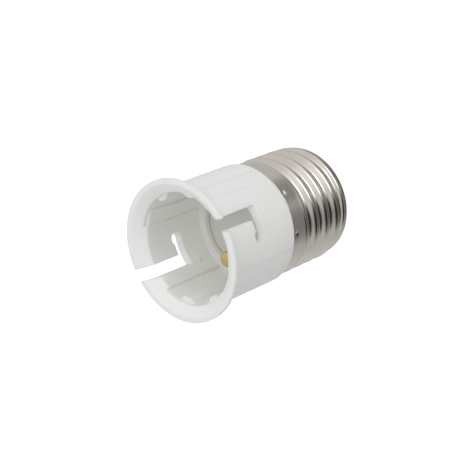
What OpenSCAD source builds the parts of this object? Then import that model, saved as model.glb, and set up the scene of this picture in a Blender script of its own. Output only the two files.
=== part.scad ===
// Lamp socket adapter: a screw cap below, a bayonet cup with two J slots above.
// Millimetres. The origin is the middle of the centre contact's face, and +Z leaves the mouth.
// The lamp slots open towards -Y and +Y.

/* [Cup] */
// Height of the cup, from its end face to the rim
cup_height = 21.8; // [21:0.1:24]
// Outside radius of the cup's wall
cup_radius = 13.6; // [13.4:0.1:14.2]
// Thickness of the wall at the crests of the guide ribs, where the lamp cap slides
rib_wall = 2.3; // [2.2:0.05:2.4]
// Thickness of the wall at the lands round the slots
land_wall = 1.9; // [1.8:0.05:2]
// Thickness of the wall at the relief between the lands
relief_wall = 1.15; // [1:0.05:1.3]
// Thickness of the wall at the shallow pad beside each land
pad_wall = 1.65; // [1.5:0.05:1.75]
// Radius of the round guide ribs
rib_radius = 2.5; // [2:0.1:2.8]
// Depth from the rim down to the floor ring
floor_depth = 18.3; // [17.8:0.1:18.8]
// Width of the floor ring, from the lands in to its opening
floor_ring = 1.9; // [1.7:0.05:2.1]
// Depth of the shallow panels on the outside of the wall
panel_depth = 0.12; // [0.05:0.01:0.2]
// Chamfer on the lower edge of the cup
cup_chamfer = 0.55; // [0.3:0.05:0.7]

/* [Flared mouth] */
// Outside radius of the rim
rim_radius = 15.7; // [15.3:0.1:16.2]
// Width of the flat ring on top of the rim
rim_width = 1.15; // [0.8:0.05:1.5]
// Height of the rim's straight outer edge
rim_edge = 0.7; // [0.4:0.05:1]
// Depth of the funnel from the rim to the lands
funnel_depth = 2.3; // [2:0.1:2.6]
// Distance from the rim's edge out to the middle of the concave blend under it
flare_past = 0.5; // [0.3:0.1:0.8]

/* [Lamp slots] */
// Width of the slot where the lamp pin enters
slot_width = 2.8; // [2.5:0.05:3]
// Depth from the rim to the bottom of the slot
slot_depth = 12.1; // [11.6:0.1:12.6]
// Height of the slot's turned leg
leg_height = 2.35; // [2.2:0.05:2.5]
// Turn of the lamp from entry to lock, in degrees
lock_turn = 19; // [17:0.5:21]
// Angle between the slot's middle plane and its side faces, in degrees
slot_skew = 13.5; // [12:0.5:15]
// Radius of the pocket that the lamp pin rests in
pocket_radius = 1.45; // [1.35:0.05:1.6]

/* [Stem] */
// Gap between the stem and the screw shell's collar
collar_gap = 0.15; // [0.1:0.05:0.3]
// Gap between the stem and the screw shell's thread
stem_gap = 0.25; // [0.15:0.05:0.4]
// Inside radius of the stem
cavity_radius = 9.05; // [8.95:0.05:9.2]
// Radius of the nose where it leaves the screw shell
nose_radius = 10; // [9.7:0.05:10.1]
// Radius of the nose where it meets the centre contact
nose_tip_radius = 6.2; // [5.8:0.1:6.6]
// Height of the nose between the contact and the screw shell
nose_height = 4; // [3.6:0.1:4.6]
// Thickness of the nose above the contact
nose_floor = 3.8; // [3.4:0.1:4.2]

/* [Screw shell] */
// Height of the screw shell
shell_height = 19.9; // [19.5:0.1:21]
// Thickness of the pressed sheet
shell_thickness = 0.3; // [0.25:0.05:0.35]
// Outside radius of the plain collar
collar_radius = 13; // [12.95:0.01:13.1]
// Radius of the thread's crest
crest_radius = 13.15; // [13.1:0.01:13.22]
// Depth of the thread
thread_depth = 1.05; // [0.9:0.05:1.1]
// Pitch of the thread
thread_pitch = 3.629; // [3.4:0.001:3.8]
// Length of the plain collar above the thread
collar_height = 3.4; // [3:0.1:4]
// Radius of the bend at the lower end
end_bend = 1.8; // [1.4:0.1:2]

/* [Centre contact] */
// Radius of the contact's disc
contact_radius = 5.2; // [4.8:0.1:5.6]
// Thickness of the contact's disc
contact_thickness = 1.2; // [0.9:0.1:1.5]
// Radius of the rivet's shank
shank_radius = 1.6; // [1.4:0.05:1.8]
// Radius of the rivet's closed head
rivet_head_radius = 2.6; // [2.3:0.1:3]
// Height of the rivet's closed head
rivet_head_height = 0.8; // [0.6:0.05:1]

/* [Contact carrier] */
// Depth of the carrier's face below the floor ring
carrier_recess = 1.4; // [1.1:0.05:1.7]
// Thickness of the carrier's disc
disc_thickness = 1.8; // [1.5:0.05:2.1]
// Height of the wiring space between the carrier and the cavity's floor
wiring_room = 8.8; // [8.2:0.1:9.4]
// Thickness of the web that stops the plungers
web_thickness = 1.5; // [1.2:0.05:1.8]

/* [Plungers] */
// Distance from the axis to each plunger
plunger_offset = 5.6; // [5.45:0.05:5.7]
// Radius of the plunger's pin
plunger_radius = 1.8; // [1.6:0.05:1.9]
// Height of the plunger's tip above the carrier's face
plunger_reach = 7.2; // [6.5:0.1:7.8]
// Travel of the plunger
plunger_travel = 4; // [3:0.1:4.5]
// Thickness of the plunger's flange
flange_thickness = 1.4; // [1:0.1:1.8]
// Outside radius of the brass barrel round each spring
barrel_radius = 2.7; // [2.6:0.05:2.8]
// Wall of the brass barrel
barrel_wall = 0.3; // [0.25:0.05:0.35]
// Length of the solder tag below each barrel
tag_length = 2; // [1.5:0.1:2.4]

/* [Springs and leads] */
// Radius of the spring wire
spring_wire = 0.22; // [0.18:0.01:0.25]
// Outside radius of the spring
spring_radius = 2.2; // [2.05:0.05:2.25]
// Turns of the spring
spring_turns = 7; // [6:1:8]
// Radius of the insulated lead
lead_radius = 0.75; // [0.6:0.05:0.85]
// Radius of the bare conductor
core_radius = 0.35; // [0.25:0.05:0.4]
// Bend radius of each lead
lead_bend = 1.6; // [1.4:0.1:1.8]

/* [Hidden] */
$fn = 96;
eps = 0.01;
fit = 0.1;      // gap between pieces that slip together
running = 0.05; // gap of a sliding piece
over = 1;       // by which a cut passes the face it opens

// Heights of the main faces, from the centre contact up
z_nose = contact_thickness;
z_shell = z_nose + nose_height;
z_collar = z_shell + shell_height;
z_cup = z_collar + fit;
z_rim = z_cup + cup_height;
z_floor = z_rim - floor_depth;
z_disc = z_floor - carrier_recess;
z_ledge = z_disc - disc_thickness;
z_toe = z_shell + shell_thickness + fit;
z_cavity = z_nose + nose_floor;
z_block = z_cavity + wiring_room;
z_web = z_disc - web_thickness;
z_slot = z_rim - slot_depth;
z_tip = z_disc + plunger_reach;

// Angles round the axis, from the middle of the slot on -Y
slot_angle = -90;
pin_half_turn = 180;
land_before = 44;
land_after = 27;
rib_angles = [52.5, 91];
pad_turn = 18;
pad_span = [pin_half_turn - land_before - pad_turn, pin_half_turn - land_before];
panel_turn = 16;
panel_spans = [[land_after, land_after + panel_turn], pad_span];
plunger_angle = slot_angle - lock_turn + 90;

// The cup's mouth and wall
guide_radius = cup_radius - rib_wall;
land_radius = cup_radius - land_wall;
relief_radius = cup_radius - relief_wall;
pad_radius = cup_radius - pad_wall;
floor_opening_radius = land_radius - floor_ring;
funnel_radius = rim_radius - rim_width;
flare_blend = max(rim_radius - cup_radius, eps) + flare_past;
rib_set_down = 0.35; // of the ribs' fronts below the funnel
rib_root = 0.5;      // of the ribs in the floor ring and in the wall
z_blend = z_rim - rim_edge - flare_blend;
z_bore = z_rim - funnel_depth;
z_rib_top = z_bore - rib_set_down;
relief_step = 0.1; // of the relief's floor above the floor ring
panel_end = 0.4; // below the blend under the rim
wall_reach = rim_radius + over;
slot_inset = 3; // of the slots' cuts behind the ribs' crests
slot_start = guide_radius - slot_inset;
chamfer_slope = 1.3;
pip_radius = 0.55;
pip_turn = 10.5;    // from the slot on +Y
pip_height = 3.8;  // above the floor ring
pip_set_in = 0.15; // of its middle into the land

// The stem inside the shell and the cavity inside the stem
stem_collar_radius = min(collar_radius, crest_radius) - shell_thickness - collar_gap;
stem_radius = crest_radius - thread_depth - shell_thickness - stem_gap;
stem_toe = [0.8, 0.9];
stem_shoulder = 1.4;
cavity_taper = [3.4, 3.2];

// The screw shell's thread: thread_phase is how far a crest at angle zero stands above the shell's end
thread_phase = 9.68;
z_thread = z_collar - collar_height;
z_bend = z_shell + end_bend;
thread_run = 1.2;
end_ease = 0.4;
crest_height = z_shell + thread_phase;
shell_sides = 40;
steps_per_pitch = 8;
bend_angles = [30, 60, 90];
lip_radius = nose_radius + fit;

// The plungers, their barrels and springs
carrier_pocket_radius = barrel_radius + running;
barrel_bore = barrel_radius - barrel_wall;
flange_radius = barrel_bore - running;
z_flange = z_web - running;
barrel_recess = 0.6;
barrel_floor = 0.4;
z_barrel = z_block + barrel_recess;
z_barrel_floor = z_barrel + barrel_floor;
tag_width = 1.6;
tag_thick = 0.5;
tip_round = 0.5;

// The leads
lead_hole = lead_radius + fit;
lead_overlap = 1.2; // of the bare end beside its tag
bare_top = 1.5;
bare_at_shell = 0.5;
bare_at_rivet = 2.2;
rivet_side = 0.6;   // where the bare end stops, from the axis
z_tag = z_barrel - tag_length;
root_at_lead = crest_height + thread_pitch * (plunger_angle / 360 - 1.5);
lead_reach = shell_radius(root_at_lead, plunger_angle) - shell_thickness - running;

white = [0.93, 0.93, 0.91];
grey_white = [0.86, 0.86, 0.83];
brass = [0.83, 0.66, 0.36];
nickel = [0.76, 0.73, 0.69];
steel = [0.62, 0.62, 0.64];
red_wire = [0.7, 0.16, 0.14];
blue_wire = [0.16, 0.3, 0.62];

function smooth(x) = let (t = min(max(x, 0), 1)) t * t * (3 - 2 * t);

// A ring sector from radius r0 to r1, turned from angle a0 to a1 about the axis
module sector(r0, r1, z0, z1, a0, a1) {
    rotate([0, 0, a0]) rotate_extrude(angle = a1 - a0) translate([r0, z0]) square([r1 - r0, z1 - z0]);
}

// Repeats a feature at both lamp slots
module both_slots() {
    for (half = [0, 1]) rotate([0, 0, slot_angle + half * pin_half_turn]) children();
}

// The outside of the cup, stem and nose as one turned solid
module cup_outside() {
    rotate_extrude() {
        polygon([[0, z_nose], [nose_tip_radius, z_nose], [nose_radius, z_shell],
                 [nose_radius, z_toe], [stem_radius - stem_toe[0], z_toe],
                 [stem_radius, z_toe + stem_toe[1]], [stem_radius, z_thread - stem_shoulder],
                 [stem_collar_radius, z_thread], [stem_collar_radius, z_cup],
                 [cup_radius - cup_chamfer, z_cup], [cup_radius, z_cup + cup_chamfer * chamfer_slope],
                 [cup_radius, z_rim], [0, z_rim]]);
        difference() {
            translate([cup_radius - eps, z_blend]) square([rim_radius - cup_radius + eps, z_rim - z_blend]);
            translate([cup_radius + flare_blend, z_blend]) circle(r = flare_blend);
        }
    }
}

// Funnel, bore, carrier seat and the cavity in the stem
module cup_inside() {
    rotate_extrude()
        polygon([[0, z_rim + eps], [funnel_radius, z_rim + eps], [funnel_radius, z_rim],
                 [land_radius, z_bore], [land_radius, z_floor],
                 [floor_opening_radius, z_floor], [floor_opening_radius, z_ledge],
                 [cavity_radius, z_ledge], [cavity_radius, z_shell + cavity_taper[1]],
                 [cavity_radius - cavity_taper[0], z_cavity], [0, z_cavity]]);
}

// The relief between two lands, with the pad left standing up to its front
module wall_relief() {
    difference() {
        sector(land_radius - over, relief_radius, z_floor + relief_step, z_bore + over,
               land_after, pad_span[1]);
        sector(pad_radius, wall_reach, z_floor - over, z_rib_top,
               pad_span[0], pad_span[1] + over);
    }
}

// Round ribs with flat fronts, rooted in the wall and in the floor ring
module guide_ribs() {
    for (a = rib_angles) intersection() {
        rotate([0, 0, a]) translate([guide_radius + rib_radius, 0, z_floor - rib_root])
            cylinder(r = rib_radius, h = z_rib_top - z_floor + rib_root);
        cylinder(r = relief_radius + rib_root, h = z_rim);
    }
}

// Entry, turned leg and round pocket of one J slot, all cut along one line
module lamp_slot() {
    entry = rim_radius * sin(slot_skew);
    lock = cup_radius * sin(slot_skew - lock_turn);
    rotate([0, 0, -slot_skew]) translate([slot_start, 0, z_slot]) {
        translate([0, entry - slot_width / 2, 0]) cube([wall_reach, slot_width, slot_depth + over]);
        translate([0, lock, 0]) cube([wall_reach, entry - lock, leg_height]);
        translate([0, lock, pocket_radius]) rotate([0, 90, 0]) cylinder(r = pocket_radius, h = wall_reach);
    }
}

// One moulded piece: flared cup, stem and nose
module cup_body() {
    color(white) difference() {
        union() {
            difference() {
                cup_outside();
                cup_inside();
                both_slots() {
                    wall_relief();
                    for (p = panel_spans) sector(cup_radius - panel_depth, cup_radius + over,
                                                 z_cup - over, z_blend - panel_end, p[0], p[1]);
                }
            }
            both_slots() guide_ribs();
            // A low moulded pip on the land behind the slot on +Y
            rotate([0, 0, slot_angle + pin_half_turn + pip_turn])
                translate([land_radius + pip_set_in, 0, z_floor + pip_height])
                    sphere(r = pip_radius, $fn = 24);
        }
        both_slots() lamp_slot();
        translate([0, 0, z_nose - over]) cylinder(r = shank_radius + running, h = nose_floor + 2 * over);
        rotate([0, 0, plunger_angle]) translate([cavity_radius - over, 0, root_at_lead]) rotate([0, 90, 0])
            cylinder(r = lead_hole, h = stem_radius);
    }
}

// Moulded insert with a pocket for each barrel
module contact_carrier() {
    color(grey_white) difference() {
        rotate_extrude()
            polygon([[0, z_block], [cavity_radius - fit, z_block], [cavity_radius - fit, z_ledge],
                     [floor_opening_radius - fit, z_ledge], [floor_opening_radius - fit, z_disc],
                     [0, z_disc]]);
        for (side = [0, 180]) rotate([0, 0, plunger_angle + side]) translate([plunger_offset, 0, 0]) {
            translate([0, 0, z_block - over]) cylinder(r = carrier_pocket_radius, h = z_web - z_block + over);
            translate([0, 0, z_web - over])
                cylinder(r = plunger_radius + running, h = web_thickness + 2 * over);
        }
    }
}

// Places a contact piece at the right-hand (side 0) or left-hand (side 180) plunger
module at_plunger(side) {
    rotate([0, 0, plunger_angle + side]) translate([plunger_offset, 0, 0]) children();
}

// Brass cup with a solder tag, pressed up into the carrier
module barrel(side) {
    color(brass) at_plunger(side) {
        difference() {
            translate([0, 0, z_barrel]) cylinder(r = barrel_radius, h = z_web - running - z_barrel);
            translate([0, 0, z_barrel_floor]) cylinder(r = barrel_bore, h = z_web - z_barrel);
        }
        translate([-tag_thick / 2, -tag_width / 2, z_tag]) cube([tag_thick, tag_width, tag_length + eps]);
    }
}

// Turned brass pin with a flange that the web holds back
module plunger(side) {
    color(brass) at_plunger(side) rotate_extrude()
        polygon([[0, z_flange - flange_thickness], [flange_radius, z_flange - flange_thickness],
                 [flange_radius, z_flange], [plunger_radius, z_flange],
                 [plunger_radius, z_tip - tip_round * 0.9],
                 [plunger_radius - tip_round * 0.3, z_tip - tip_round * 0.4],
                 [plunger_radius - tip_round, z_tip - tip_round * 0.1], [0, z_tip]]);
}

// A closed tube swept along a coil, with a dead turn at each end
module spring(side) {
    z0 = z_barrel_floor + running + spring_wire;
    z1 = z_flange - flange_thickness - running - spring_wire;
    mean = spring_radius - spring_wire;
    sides = 8;
    per_turn = 14;
    dead = 2 * spring_wire + 0.04;
    rise = (z1 - z0 - 2 * dead) / (spring_turns - 2);
    rings = spring_turns * per_turn;
    points = [for (i = [0:rings], k = [0:sides - 1])
        let (u = i / per_turn, a = 360 * u, b = 360 * k / sides,
             z = z0 + dead * (min(u, 1) + max(u - spring_turns + 1, 0))
                 + rise * min(max(u - 1, 0), spring_turns - 2),
             r = mean + spring_wire * cos(b))
        [r * cos(a), r * sin(a), z + spring_wire * sin(b)]];
    walls = [for (i = [0:rings - 1], k = [0:sides - 1])
        let (n = (k + 1) % sides) each [
            [i * sides + k, (i + 1) * sides + k, i * sides + n],
            [i * sides + n, (i + 1) * sides + k, (i + 1) * sides + n]]];
    ends = [[for (k = [0:sides - 1]) k], [for (k = [sides - 1:-1:0]) rings * sides + k]];
    color(steel) at_plunger(side) polyhedron(points, concat(walls, ends));
}

// A lead that drops from a solder tag, bends once and runs to its end, bare at both ends
module lead(from, z_top, z_run, to, bare) {
    way = to > from ? 1 : -1;
    drop = z_top - z_run - lead_bend;
    run = abs(to - from) - lead_bend;
    $fn = 32;
    translate([from, 0, z_run]) mirror([way < 0 ? 1 : 0, 0, 0]) {
        translate([0, 0, lead_bend]) cylinder(r = lead_radius, h = drop - bare_top);
        translate([0, 0, lead_bend]) cylinder(r = core_radius, h = drop);
        translate([lead_bend, 0, lead_bend]) rotate([90, 0, 0]) rotate_extrude(angle = 90, start = 180)
            translate([lead_bend, 0]) circle(r = lead_radius);
        translate([lead_bend, 0, 0]) rotate([0, 90, 0]) cylinder(r = lead_radius, h = run - bare);
        translate([lead_bend, 0, 0]) rotate([0, 90, 0]) cylinder(r = core_radius, h = run);
    }
}

// Lead from the right-hand barrel out through the stem to the screw shell
module lead_to_shell() {
    color(blue_wire) rotate([0, 0, plunger_angle])
        lead(plunger_offset + tag_thick / 2 + core_radius, z_tag + lead_overlap, root_at_lead, lead_reach,
             bare_at_shell);
}

// Lead from the left-hand barrel to the rivet of the centre contact
module lead_to_centre() {
    z_end = z_cavity + rivet_head_height + core_radius + running;
    color(red_wire) rotate([0, 0, plunger_angle + 180])
        lead(plunger_offset - tag_thick / 2 - core_radius, z_tag + lead_overlap, z_end, rivet_side,
             bare_at_rivet);
}

// Rivet with a flat disc below the nose and a closed head inside it
module centre_contact() {
    edge = 0.35;
    color(brass) rotate_extrude()
        polygon([[0, 0], [contact_radius - edge, 0], [contact_radius - edge * 0.3, edge * 0.3],
                 [contact_radius, edge], [contact_radius, z_nose], [shank_radius, z_nose],
                 [shank_radius, z_cavity], [rivet_head_radius, z_cavity],
                 [rivet_head_radius, z_cavity + rivet_head_height * 0.5],
                 [rivet_head_radius * 0.7, z_cavity + rivet_head_height], [0, z_cavity + rivet_head_height]]);
}

// Outside radius of the pressed shell at height z and angle a: plain collar, rolled thread, eased end
function shell_radius(z, a) =
    let (top = smooth((z_thread - z) / thread_run), low = smooth((z - z_bend) / thread_run),
         base = collar_radius + (crest_radius - collar_radius) * top - end_ease * (1 - low),
         wave = (1 - cos(360 * (z - crest_height) / thread_pitch - a)) / 2)
    base - thread_depth * top * low * wave;

// One skin of the shell as rows of [radius, height], inset by the sheet's thickness where inset is set
function skin(a, inset) =
    let (steps = ceil((z_thread - z_bend) / thread_pitch * steps_per_pitch),
         foot = shell_radius(z_bend, a) - inset, bend = end_bend - inset)
    concat([[collar_radius - inset, z_collar]],
           [for (i = [0:steps]) let (z = z_thread + (z_bend - z_thread) * i / steps)
               [shell_radius(z, a) - inset, z]],
           [for (t = bend_angles) [foot - bend * (1 - cos(t)), z_bend - bend * sin(t)]],
           [[lip_radius, z_shell + inset]]);

// Pressed metal shell: both skins meet at the collar's edge and at the turned-in lip
module screw_shell() {
    loops = [for (i = [0:shell_sides - 1])
        let (a = 360 * i / shell_sides, outer = skin(a, 0), inner = skin(a, shell_thickness))
        [for (p = concat(outer, [for (j = [len(inner) - 1:-1:0]) inner[j]]))
            [p[0] * cos(a), p[0] * sin(a), p[1]]]];
    rows = len(loops[0]);
    points = [for (loop = loops) each loop];
    faces = [for (i = [0:shell_sides - 1], j = [0:rows - 1])
        let (n = (i + 1) % shell_sides, m = (j + 1) % rows, p = i * rows + j, q = n * rows + j,
             r = n * rows + m, s = i * rows + m) each [[p, q, r], [p, r, s]]];
    color(nickel) polyhedron(points, faces);
}

cup_body();
contact_carrier();
barrel(0);  // barrel_right
barrel(180);  // barrel_left
spring(0);  // spring_right
spring(180);  // spring_left
plunger(0);  // plunger_right
plunger(180);  // plunger_left
lead_to_shell();
lead_to_centre();
centre_contact();
screw_shell();
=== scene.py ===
import math

import bpy
import numpy as np
from mathutils import Matrix, Vector


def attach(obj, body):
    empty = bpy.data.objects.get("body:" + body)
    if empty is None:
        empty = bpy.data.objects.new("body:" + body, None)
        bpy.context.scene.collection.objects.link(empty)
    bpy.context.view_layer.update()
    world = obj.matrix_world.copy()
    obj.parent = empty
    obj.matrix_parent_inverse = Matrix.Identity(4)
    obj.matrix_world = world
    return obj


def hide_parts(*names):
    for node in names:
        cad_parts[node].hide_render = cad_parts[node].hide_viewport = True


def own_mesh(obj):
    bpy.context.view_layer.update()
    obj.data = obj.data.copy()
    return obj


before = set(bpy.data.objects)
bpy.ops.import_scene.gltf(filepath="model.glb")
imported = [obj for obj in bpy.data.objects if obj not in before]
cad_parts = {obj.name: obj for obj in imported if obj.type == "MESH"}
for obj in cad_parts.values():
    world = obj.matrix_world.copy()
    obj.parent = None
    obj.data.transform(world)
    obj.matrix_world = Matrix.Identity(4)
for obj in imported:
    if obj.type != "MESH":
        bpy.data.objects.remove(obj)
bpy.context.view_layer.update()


# Camera: it stands where the photographer stood, above the cup's mouth, and is rolled so that
# the adapter's axis runs from the lower left to the upper right of the picture.
MM = 0.001
PICTURE_RIGHT = Vector((-0.43569, -0.60447, -0.66693))
PICTURE_UP = Vector((0.89801, -0.34234, -0.27637))
TOWARDS_CAMERA = Vector((-0.06126, -0.71932, 0.69197))

lens = bpy.data.cameras.new("studio_camera")
lens.lens = 100.19
lens.sensor_width = 36
camera = bpy.data.objects.new("studio_camera", lens)
camera.matrix_world = Matrix((PICTURE_RIGHT, PICTURE_UP, TOWARDS_CAMERA)).transposed().to_4x4()
camera.matrix_world.translation = Vector((-18.598, -204.009, 226.651)) * MM
bpy.context.collection.objects.link(camera)
bpy.context.scene.camera = camera
bpy.context.scene.view_settings.view_transform = "Standard"


# Studio: a pale table top, a long low soft box beside the camera that draws the bright streaks on
# the shell, a square one high over the mouth, and pale walls with darker and paler patches. Table
# and walls are brighter to the camera than to the adapter, so that the ground stays white.
class Shade:
    """One socket of a material's nodes. Sums and products of shades become Math nodes."""

    def __init__(self, tree, socket=None):
        self.tree, self.socket = tree, socket

    def node(self, kind, settings=None, inputs=None, out=0):
        """Adds a node: its settings first, then the values or links of its sockets."""
        made = self.tree.nodes.new(kind)
        for name, value in (settings or {}).items():
            setattr(made, name, value)
        for name, value in (inputs or {}).items():
            if isinstance(value, Shade):
                self.tree.links.new(value.socket, made.inputs[name])
            else:
                made.inputs[name].default_value = value
        return Shade(self.tree, made.outputs[out] if made.outputs else None)

    def math(self, operation, *values):
        return self.node("ShaderNodeMath", {"operation": operation}, dict(enumerate(values)))

    def __add__(self, other):
        return self.math("ADD", self, other)

    def __sub__(self, other):
        return self.math("SUBTRACT", self, other)

    def __rsub__(self, other):
        return self.math("SUBTRACT", other, self)

    def __mul__(self, other):
        return self.math("MULTIPLY", self, other)

    __radd__, __rmul__ = __add__, __mul__

    def within(self, low, high):
        """0 below low, 1 above high, and a smooth step between."""
        return self.node("ShaderNodeMapRange", {"interpolation_type": "SMOOTHSTEP"},
                         {0: self, 1: low, 2: high, 3: 0.0, 4: 1.0})

    def tint(self, first, second):
        """A colour that runs from first to second as this shade goes from 0 to 1."""
        return self.node("ShaderNodeMix", {"data_type": "RGBA"},
                         {0: self, 6: (*first, 1), 7: (*second, 1)}, out=2)

    def vector(self, operation, first, second, out=0):
        return self.node("ShaderNodeVectorMath", {"operation": operation}, {0: first, 1: second}, out=out)

    def in_mm(self):
        """The place on the piece, in millimetres."""
        return self.node("ShaderNodeVectorMath", {"operation": "SCALE"},
                         {0: self.node("ShaderNodeTexCoord", out=3), 3: 1 / MM})

    def noise(self, where, scale, detail, distortion=0.0):
        """Cloudy noise from 0 to 1; scale is how many clouds stand in a unit of where."""
        return self.node("ShaderNodeTexNoise", inputs={
            "Vector": where, "Scale": scale, "Detail": detail, "Distortion": distortion})

    def bump(self, strength, depth_mm, height, rounded=None):
        """A bump from a height, on top of rounded edges where they are given."""
        values = {"Strength": strength, "Distance": depth_mm * MM, "Height": height}
        if rounded:
            values["Normal"] = rounded
        return self.node("ShaderNodeBump", inputs=values)

    def rounded_edges(self, radius_mm):
        return self.node("ShaderNodeBevel", {"samples": 8}, {"Radius": radius_mm * MM})

    def surface(self, **values):
        """The material's surface, from the shader's sockets by their names."""
        face = self.node("ShaderNodeBsdfPrincipled",
                         inputs={name.replace("_", " "): value for name, value in values.items()})
        self.node("ShaderNodeOutputMaterial", inputs={"Surface": face})


def new_material(name):
    """An empty material and a shade to build it with."""
    material = bpy.data.materials.new(name)
    material.use_nodes = True
    material.node_tree.nodes.clear()
    return material, Shade(material.node_tree)


def place(name, vertices, faces, body=None):
    """A mesh object from points in millimetres; it rides on a body unless it is stage."""
    mesh = bpy.data.meshes.new(name)
    mesh.from_pydata((np.asarray(vertices, float) * MM).tolist(), [], faces)
    piece = bpy.data.objects.new(name, mesh)
    bpy.context.collection.objects.link(piece)
    if body:
        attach(piece, body)
    return piece


TABLE_REACH, TABLE_GLOW_SEEN, TABLE_GLOW_FELT = 3000, 0.84, 0.26
pale, shade = new_material("pale_table")
cloudy = shade.noise(shade.node("ShaderNodeTexCoord", out=3), 6.0, 3.0)
table_seen, table_felt = [shade.node("ShaderNodeBsdfPrincipled", inputs={
    "Base Color": cloudy.tint((0.36, 0.36, 0.36), (0.4, 0.4, 0.4)), "Roughness": 0.6 + 0.2 * cloudy,
    "Specular IOR Level": 0.2, "Emission Color": (1, 1, 1, 1), "Emission Strength": glow})
    for glow in (TABLE_GLOW_SEEN, TABLE_GLOW_FELT)]
seen = shade.node("ShaderNodeLightPath", out=0)
table_face = shade.node("ShaderNodeMixShader", inputs={0: seen, 1: table_felt, 2: table_seen})
shade.node("ShaderNodeOutputMaterial", inputs={"Surface": table_face})
table_corners = [(x * TABLE_REACH, y * TABLE_REACH, 0) for x, y in [(-1, -1), (1, -1), (1, 1), (-1, 1)]]
table = place("pale_table", table_corners, [(0, 1, 2, 3)])
table.data.materials.append(pale)
table.visible_glossy = False

CAMERA_TURN = math.degrees(math.atan2(TOWARDS_CAMERA.y, TOWARDS_CAMERA.x))


def towards(turn, rise):
    """The direction that lies turn degrees to the right of the camera's, and rise degrees up."""
    turn, rise = math.radians(CAMERA_TURN + turn), math.radians(rise)
    return Vector((math.cos(turn) * math.cos(rise), math.sin(turn) * math.cos(rise), math.sin(rise)))


middle = Vector((0, 0, 25)) * MM
# Turn and rise in degrees; distance, width and height in metres
for name, turn, rise, distance, width, height, power in [
        ("side_softbox", 17, 7, 0.6, 0.42, 0.12, 0.4),
        ("mouth_softbox", 34, 60, 0.7, 0.4, 0.4, 0.4)]:
    light = bpy.data.lights.new(name, "AREA")
    light.shape, light.size, light.size_y, light.energy = "RECTANGLE", width, height, power
    lamp = bpy.data.objects.new(name, light)
    lamp.location = middle + towards(turn, rise) * distance
    lamp.rotation_euler = towards(turn, rise).to_track_quat("Z", "Y").to_euler()
    bpy.context.collection.objects.link(lamp)

room = bpy.data.worlds.new("pale_room")
bpy.context.scene.world = room
room.use_nodes = True
room.node_tree.nodes.clear()
shade = Shade(room.node_tree)
outward = shade.node("ShaderNodeTexCoord", out=0)
lit_side = shade.vector("DOT_PRODUCT", outward, PICTURE_UP, out=1)
overhead = shade.node("ShaderNodeSeparateXYZ", inputs={0: outward}, out=2)
wall = (0.13 + 0.42 * overhead.within(-0.98, -0.68) + 0.1 * overhead.within(-0.45, -0.1)
        + 0.1 * lit_side + 0.2 * overhead.within(0.3, 0.95))
# Patches on the walls: turn, rise, outer and inner half width in degrees, and how much darker
# each is; a paler one is below zero
for turn, rise, outer, inner, darker in [
        (-38, -42, 34, 6, 0.5), (-40, 0, 40, 17, 0.97), (32, -44, 26, 8, 0.45),
        (28, 5, 45, 5, -0.5), (-125, -20, 50, 10, -0.25)]:
    near = shade.vector("DOT_PRODUCT", outward, towards(turn, rise), out=1)
    wall = wall * (1 - darker * near.within(math.cos(math.radians(outer)), math.cos(math.radians(inner))))
seen = shade.node("ShaderNodeLightPath", out=0)
backdrop = shade.node("ShaderNodeBackground", inputs={"Color": (1, 1, 1, 1), "Strength": 1.0})
walls = shade.node("ShaderNodeBackground", inputs={"Color": (1, 1, 1, 1), "Strength": wall})
both = shade.node("ShaderNodeMixShader", inputs={0: seen, 1: walls, 2: backdrop})
shade.node("ShaderNodeOutputWorld", inputs={"Surface": both})


# Cup, stem and nose: one white moulding in a heat-proof plastic that lets some light through, satin
# from the tool, with faint flow marks. Everything else is fixed to it.
def dress(node, material):
    """Gives a CAD node its finish in place of the plain one."""
    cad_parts[node].data.materials.clear()
    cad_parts[node].data.materials.append(material)


white, shade = new_material("white_moulding")
where = shade.in_mm()
flow = shade.noise(where, 0.16, 4.0, 0.6)
grain = shade.noise(where, 3.0, 2.0)
shade.surface(
    Base_Color=flow.tint((0.885, 0.89, 0.87), (0.915, 0.92, 0.905)), IOR=1.5,
    Roughness=0.34 + 0.1 * grain + 0.06 * flow,
    Normal=shade.bump(0.12, 0.05, grain, shade.rounded_edges(0.18)),
    Subsurface_Weight=0.7, Subsurface_Radius=(1.0, 0.97, 0.88), Subsurface_Scale=1.8 * MM)
dress("cup_body", white)


# Screw shell: nickel-plated sheet, drawn and rolled into a lamp thread, slipped over the stem
# and held by stakes punched through its collar. It is turned in at the lower end.
Z_LIP, Z_BEND, Z_THREAD, Z_COLLAR = 5.2, 7.0, 21.7, 25.1
COLLAR_RADIUS, CREST_RADIUS, LIP_RADIUS, SHEET = 13.0, 13.15, 10.1, 0.3
PITCH, THREAD_DEPTH, THREAD_RUN, END_EASE, END_BEND = 3.629, 1.05, 1.2, 0.4, 1.8
CREST_HEIGHT = Z_LIP + 9.68
STAKE_HEIGHT, STAKE_DEPTH, STAKE_SIZE = 24.35, 0.28, 0.5
STAKE_FIRST, STAKE_NEXT, HALF_TURN = -81, -42.5, 180
STAKES = [math.radians(STAKE_FIRST + STAKE_NEXT * k + half) for half in (0, HALF_TURN) for k in range(2)]
EDGE_FOLD, EDGE_ROUND = 0.05, 0.06
AROUND, COLLAR_ROWS, THREAD_ROWS = 240, 30, 118


def ease(x):
    x = np.clip(x, 0, 1)
    return x * x * (3 - 2 * x)


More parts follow.
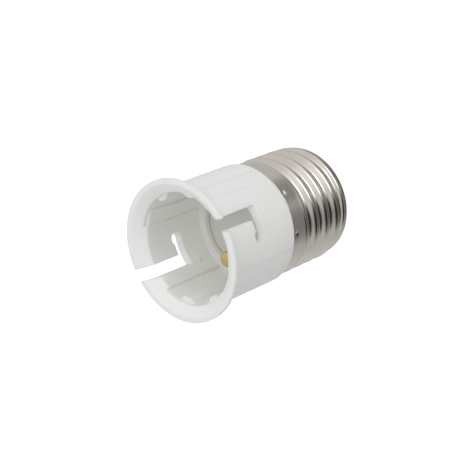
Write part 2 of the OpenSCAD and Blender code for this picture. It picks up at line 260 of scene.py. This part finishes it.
def shell_radius(z, turn):
    """Outside radius of the pressed sheet at a height and an angle round the axis."""
    top, low = ease((Z_THREAD - z) / THREAD_RUN), ease((z - Z_BEND) / THREAD_RUN)
    base = COLLAR_RADIUS + (CREST_RADIUS - COLLAR_RADIUS) * top - END_EASE * (1 - low)
    wave = (1 - np.cos(2 * math.pi * (z - CREST_HEIGHT) / PITCH - turn)) / 2
    radius = base - THREAD_DEPTH * top * low * wave
    for stake in STAKES:
        apart = (np.mod(turn - stake + math.pi, 2 * math.pi) - math.pi) * COLLAR_RADIUS
        radius = radius - STAKE_DEPTH * np.exp(-(apart ** 2 + (z - STAKE_HEIGHT) ** 2) / STAKE_SIZE ** 2)
    return radius


turns = np.linspace(0, 2 * math.pi, AROUND, endpoint=False)
heights = np.concatenate([[Z_COLLAR - EDGE_FOLD],
                          np.linspace(Z_COLLAR - 2 * EDGE_ROUND, Z_THREAD, COLLAR_ROWS)[:-1],
                          np.linspace(Z_THREAD, Z_BEND, THREAD_ROWS)])
loops = []
for inset in (0, SHEET):
    rim = shell_radius(Z_COLLAR - EDGE_FOLD, turns) - (SHEET - EDGE_ROUND if inset else EDGE_ROUND)
    rows = [(rim, np.full(turns.size, Z_COLLAR))]
    rows += [(shell_radius(z, turns) - inset, np.full(turns.size, z)) for z in heights]
    foot = shell_radius(Z_BEND, turns) - inset
    bend = END_BEND - inset
    for t in np.radians(np.arange(10, 91, 10)):
        rows.append((foot - bend * (1 - math.cos(t)), np.full(turns.size, Z_BEND - bend * math.sin(t))))
    rows.append((np.full(turns.size, LIP_RADIUS), np.full(turns.size, Z_LIP + inset)))
    loops += rows if not inset else rows[::-1]
radii = np.array([row[0] for row in loops])
levels = np.array([row[1] for row in loops])
points = np.stack([radii * np.cos(turns), radii * np.sin(turns), levels], axis=2).reshape(-1, 3)
rows, columns = radii.shape
faces = [(r * columns + c, ((r + 1) % rows) * columns + c,
          ((r + 1) % rows) * columns + (c + 1) % columns, r * columns + (c + 1) % columns)
         for r in range(rows) for c in range(columns)]
shell = place("screw_shell_rolled", points, faces, "adapter")
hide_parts("screw_shell")
shell.data.polygons.foreach_set("use_smooth", [True] * len(shell.data.polygons))

nickel, shade = new_material("nickel_plate")
where = shade.in_mm()
cloud = shade.noise(where, 0.35, 5.0)
rolled = shade.noise(shade.vector("MULTIPLY", where, (0.25, 0.25, 9.0)), 1.0, 3.0)
pits = shade.noise(where, 1.6, 1.0).within(0.74, 0.8)
shade.surface(
    Base_Color=cloud.tint((0.67, 0.625, 0.56), (0.75, 0.715, 0.66)), Metallic=1.0,
    Roughness=0.11 + 0.1 * cloud + 0.05 * rolled + 0.2 * pits,
    Normal=shade.bump(0.25, 0.02, rolled - 0.6 * pits))
shell.data.materials.append(nickel)


# Centre contact: a plated brass rivet. Its disc was pressed flat against the nose and its head was
# closed over the floor of the stem; its face carries the rings left by the press.
def turned(name, profile, body, centre=(0, 0), sides=96):
    """A turned piece from the points (radius, height) of its half section, from the foot up."""
    around = np.linspace(0, 2 * math.pi, sides, endpoint=False)
    points = [(centre[0] + r * math.cos(a), centre[1] + r * math.sin(a), z)
              for r, z in profile for a in around]
    walls = [(k * sides + i, k * sides + (i + 1) % sides,
              (k + 1) * sides + (i + 1) % sides, (k + 1) * sides + i)
             for k in range(len(profile) - 1) for i in range(sides)]
    caps = [tuple(range(sides))[::-1], tuple(range(len(points) - sides, len(points)))]
    piece = place(name, points, caps + walls, body)
    piece.data.polygons.foreach_set("use_smooth", [True] * len(piece.data.polygons))
    piece.data.set_sharp_from_angle(angle=math.radians(SHARP_FROM))
    return piece


def corner(r, z, radius, start, end, steps=6):
    """Points on an arc round (r, z), for the rounded corner of a half section."""
    return [(r + radius * math.cos(t), z + radius * math.sin(t))
            for t in np.radians(np.linspace(start, end, steps))]


AXIS, SHARP_FROM = 0.05, 32
DIMPLE_FLAT, DIMPLE_SIDE, DIMPLE_EDGE, DIMPLE_LOW, PRESS_RINGS = 1.1, 1.5, 1.9, 0.02, 14
DISC_RADIUS, DISC_THICK, DISC_ROUND, SHANK_RADIUS = 5.2, 1.2, 0.35, 1.6
HEAD_RADIUS, HEAD_LOW, HEAD_HIGH, DIMPLE = 2.6, 5.0, 5.8, 0.12
rivet_section = [(AXIS, DIMPLE), (DIMPLE_FLAT, DIMPLE), (DIMPLE_SIDE, DIMPLE_LOW), (DIMPLE_EDGE, 0)]
rivet_section += corner(DISC_RADIUS - DISC_ROUND, DISC_ROUND, DISC_ROUND, -90, 0)
rivet_section += [(DISC_RADIUS, DISC_THICK), (SHANK_RADIUS, DISC_THICK),
                  (SHANK_RADIUS, HEAD_LOW), (HEAD_RADIUS, HEAD_LOW)]
rivet_section += [(HEAD_RADIUS * math.cos(t), HEAD_LOW + (HEAD_HIGH - HEAD_LOW) * math.sin(t))
                  for t in np.radians([10, 25, 40, 55, 70, 80])] + [(AXIS, HEAD_HIGH)]
rivet = turned("centre_rivet", rivet_section, "adapter")
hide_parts("centre_contact")

plated, shade = new_material("plated_contact")
where = shade.in_mm()
cloud = shade.noise(where, 0.9, 4.0)
from_axis = shade.node("ShaderNodeVectorMath", {"operation": "LENGTH"},
                       {0: shade.vector("MULTIPLY", where, (1, 1, 0))}, out=1)
press_rings = shade.math("SINE", from_axis * PRESS_RINGS + 5 * cloud)
scuffs = shade.noise(where, 4.0, 3.0).within(0.56, 0.7)
shade.surface(
    Base_Color=cloud.tint((0.66, 0.56, 0.36), (0.78, 0.7, 0.52)), Metallic=1.0,
    Roughness=0.24 + 0.12 * cloud + 0.14 * scuffs, Normal=shade.bump(0.3, 0.02, press_rings - scuffs))
rivet.data.materials.append(plated)


# Contact carrier: a round insert in a matt heat-proof moulding, pushed down into the cup. Its face
# is the sunken floor between the two plungers, and its block holds the barrels.
carrier, shade = new_material("carrier_moulding")
where = shade.in_mm()
cloud = shade.noise(where, 0.3, 5.0)
grit = shade.noise(where, 5.0, 3.0)
shade.surface(
    Base_Color=cloud.tint((0.7, 0.7, 0.67), (0.77, 0.77, 0.74)), Roughness=0.55 + 0.12 * grit,
    Normal=shade.bump(0.35, 0.04, grit, shade.rounded_edges(0.15)))
dress("contact_carrier", carrier)


# Plungers: two brass pins turned on a lathe, each with a flange that keeps it in the carrier and a
# slightly domed tip, worn bright, that touches the lamp's contact.
PLUNGER_OFFSET, PLUNGER_TURN = 5.6, math.radians(-19)
PIN_RADIUS, FLANGE_RADIUS, SMALL_ROUND = 1.8, 2.35, 0.12
PIN_END, TIP_ROUND, TIP_RISE = 3, 0.42, 0.1
MARKS_ACROSS, MARKS_UP = 30, 36
Z_FLANGE_FOOT, Z_FLANGE, Z_TIP = 24.35, 25.75, 34.5
along_row = Vector((math.cos(PLUNGER_TURN), math.sin(PLUNGER_TURN))) * PLUNGER_OFFSET

brass, shade = new_material("brass")
where = shade.in_mm()
across = shade.vector("MULTIPLY", where, (1, 1, 0))
nearest_axis = shade.math("MINIMUM", *[shade.vector("DISTANCE", across, (side.x, side.y, 0), out=1)
                                       for side in (along_row, -along_row)])
height = shade.node("ShaderNodeSeparateXYZ", inputs={0: where}, out=2)
cloud = shade.noise(where, 0.8, 5.0)
tool_marks = shade.math("SINE", nearest_axis * MARKS_ACROSS + height * MARKS_UP + 3 * cloud)
tarnish = shade.noise(where, 1.7, 4.0).within(0.5, 0.75)
shade.surface(
    Base_Color=tarnish.tint((0.74, 0.57, 0.29), (0.6, 0.44, 0.21)), Metallic=1.0,
    Roughness=0.26 + 0.12 * cloud + 0.12 * tarnish, Normal=shade.bump(0.4, 0.012, tool_marks))

pin_section = [(AXIS, Z_FLANGE_FOOT)]
pin_section += corner(FLANGE_RADIUS - SMALL_ROUND, Z_FLANGE_FOOT + SMALL_ROUND, SMALL_ROUND, -90, 0, 4)
pin_section += corner(FLANGE_RADIUS - SMALL_ROUND, Z_FLANGE - SMALL_ROUND, SMALL_ROUND, 0, 90, 4)
pin_section += [(PIN_RADIUS, Z_FLANGE), (PIN_RADIUS, Z_TIP - PIN_END)]
pin_section += corner(PIN_RADIUS - TIP_ROUND, Z_TIP - TIP_RISE - TIP_ROUND, TIP_ROUND, 0, 80, 7)
pin_section += [(r, Z_TIP - TIP_RISE * (r / (PIN_RADIUS - TIP_ROUND)) ** 2)
                for r in (1.2, 0.9, 0.6, 0.3, AXIS)]
for name, middle_at in [("plunger_right", along_row), ("plunger_left", -along_row)]:
    pin = turned(name + "_pin", pin_section, name, middle_at)
    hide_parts(name)
    pin.data.materials.append(brass)


# Barrels and springs: each plunger stands on a coil of drawn steel wire in a drawn brass cup, which
# is pressed up into the carrier and carries the solder tag for its lead.
steel, shade = new_material("spring_steel")
drawn = shade.noise(shade.in_mm(), 6.0, 4.0)
shade.surface(
    Base_Color=drawn.tint((0.5, 0.5, 0.52), (0.62, 0.62, 0.63)), Metallic=1.0,
    Roughness=0.24 + 0.16 * drawn, Normal=shade.bump(0.3, 0.01, drawn))

COIL_RADIUS, WIRE_RADIUS, COIL_TURNS, DEAD_TURN = 1.98, 0.22, 7, 0.48
SPRING_SEAT, SPRING_FOOT, SPRING_HEAD, PRESS = 14.8, 14.85, 24.3, 4
WIRE_SIDES, STEPS_PER_TURN = 12, 36
coil_rings = COIL_TURNS * STEPS_PER_TURN + 1
turned_by = np.linspace(0, COIL_TURNS, coil_rings)[:, None]
live_rise = (SPRING_HEAD - SPRING_FOOT - 2 * WIRE_RADIUS - 2 * DEAD_TURN) / (COIL_TURNS - 2)
wire_height = (SPRING_FOOT + WIRE_RADIUS + live_rise * np.clip(turned_by - 1, 0, COIL_TURNS - 2)
               + DEAD_TURN * (np.minimum(turned_by, 1) + np.maximum(turned_by - COIL_TURNS + 1, 0)))
round_wire = np.linspace(0, 2 * math.pi, WIRE_SIDES, endpoint=False)[None, :]
reach = COIL_RADIUS + WIRE_RADIUS * np.cos(round_wire)
coil = np.stack([reach * np.cos(2 * math.pi * turned_by), reach * np.sin(2 * math.pi * turned_by),
                 wire_height + WIRE_RADIUS * np.sin(round_wire)], axis=2).reshape(-1, 3)
coil_faces = [(k * WIRE_SIDES + i, (k + 1) * WIRE_SIDES + i,
               (k + 1) * WIRE_SIDES + (i + 1) % WIRE_SIDES, k * WIRE_SIDES + (i + 1) % WIRE_SIDES)
              for k in range(coil_rings - 1) for i in range(WIRE_SIDES)]
coil_faces += [tuple(range(WIRE_SIDES)), tuple(range(len(coil) - WIRE_SIDES, len(coil)))[::-1]]
for side, middle_at in [("right", along_row), ("left", -along_row)]:
    dress("barrel_" + side, brass)
    spring = place("spring_" + side + "_coil", coil + (middle_at.x, middle_at.y, 0), coil_faces,
                   "adapter")
    spring.data.polygons.foreach_set("use_smooth", [True] * len(spring.data.polygons))
    spring.data.materials.append(steel)
    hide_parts("spring_" + side)
    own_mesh(spring)


# Leads: two short wires in soft plastic sleeves, one to the shell and one to the centre rivet. The
# bare ends beside the solder tags are tinned copper.
SLEEVE_TOP, SLEEVE_EDGE, TINNED = 12.1, 0.02, (0.7, 0.66, 0.6)
for node, name, pale_dye, deep_dye in [
        ("lead_to_shell", "blue_insulation", (0.06, 0.2, 0.52), (0.04, 0.14, 0.42)),
        ("lead_to_centre", "red_insulation", (0.56, 0.07, 0.05), (0.44, 0.04, 0.03))]:
    sleeve, shade = new_material(name)
    where = shade.in_mm()
    height = shade.node("ShaderNodeSeparateXYZ", inputs={0: where}, out=2)
    mottle = shade.noise(where, 1.4, 4.0)
    rub = shade.noise(where, 7.0, 2.0)
    bare = height.within(SLEEVE_TOP, SLEEVE_TOP + SLEEVE_EDGE)
    dyed = mottle.tint(pale_dye, deep_dye)
    colour = shade.node("ShaderNodeMix", {"data_type": "RGBA"}, {0: bare, 6: dyed, 7: (*TINNED, 1)}, out=2)
    shade.surface(Base_Color=colour, Metallic=bare, Roughness=0.4 + 0.15 * rub - 0.1 * bare,
                  Normal=shade.bump(0.25, 0.02, rub))
    dress(node, sleeve)
